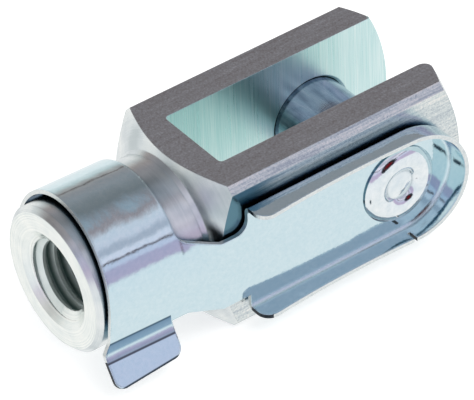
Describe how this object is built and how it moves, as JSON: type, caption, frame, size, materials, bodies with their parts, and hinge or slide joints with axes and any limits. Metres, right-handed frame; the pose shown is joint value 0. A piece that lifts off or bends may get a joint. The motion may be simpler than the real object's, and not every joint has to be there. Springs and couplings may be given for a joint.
{
  "type": "clevis rod end",
  "caption": "Forked rod end milled from square bar, with a plain pin on a folded spring clip that snaps round the threaded neck.",
  "frame": {"origin": "centre of the pin between the ears, where the pin's axis crosses the rod's axis", "axes": "+X along the rod axis from the threaded neck to the fork's open end, +Y along the pin to its free tip, +Z out of the slot's open side, with the part lying on the square's lower face"},
  "size_m": [0.0413, 0.0197, 0.016],
  "materials": {
    "plated_bar_steel": "satin zinc plate over milled and turned bar",
    "plated_spring_steel": "bright zinc plate on rolled spring sheet",
    "plated_pin_steel": "bright zinc plate on turned steel"
  },
  "bodies": {
    "head": {"clevis_body": "plated_bar_steel"},
    "clip_and_pin": {"spring_clip": "plated_spring_steel", "clevis_pin": "plated_pin_steel"}
  },
  "joints": [
    {"name": "clip_swing", "type": "hinge", "parent": "head", "child": "clip_and_pin", "pos_m": [0, 0, 0], "axis": [0, 1, 0], "range_deg": [0, 318]}
  ]
}
